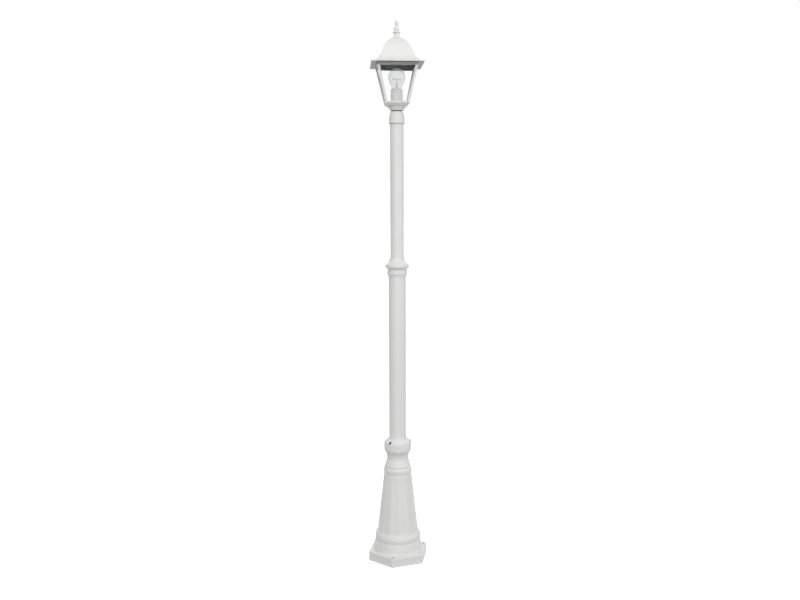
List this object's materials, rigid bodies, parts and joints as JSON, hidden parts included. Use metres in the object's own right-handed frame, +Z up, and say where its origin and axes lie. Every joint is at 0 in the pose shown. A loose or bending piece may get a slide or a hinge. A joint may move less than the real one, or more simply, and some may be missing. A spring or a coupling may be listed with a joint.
{
  "type": "outdoor lamp post",
  "caption": "White outdoor lamp post with a square glass lantern, an ogee roof and finial, a two-stage round tube and a fluted base on a hexagonal plinth.",
  "frame": {"origin": "centre of the hexagonal plinth's underside, on the ground", "axes": "+Z up along the tube, X and Y square to the lantern's sides, with the lantern's front facing -Y"},
  "size_m": [0.2132, 0.2168, 1.8882],
  "materials": {
    "white_paint": "white powder coat, semi-gloss",
    "clear_glass": "clear, polished",
    "bulb_glass": "clear blown glass",
    "porcelain": "unglazed, satin",
    "zinc_steel": "zinc plated",
    "cap_brass": "dull"
  },
  "bodies": {
    "root": {"base_casting": "white_paint", "lower_tube": "white_paint", "middle_collar": "white_paint", "upper_tube": "white_paint", "lantern_fitter": "white_paint", "lantern_neck": "white_paint", "lantern_tray": "white_paint", "post_front_right": "white_paint", "post_back_right": "white_paint", "post_back_left": "white_paint", "post_front_left": "white_paint", "glass_front": "clear_glass", "glass_right": "clear_glass", "glass_back": "clear_glass", "glass_left": "clear_glass", "top_frame": "white_paint", "roof": "white_paint", "finial_seat": "white_paint", "finial_spire": "white_paint", "holder_strap": "zinc_steel", "lampholder": "porcelain", "bulb_cap": "cap_brass", "bulb_glass": "bulb_glass", "bulb_stem": "bulb_glass"}
  },
  "joints": []
}
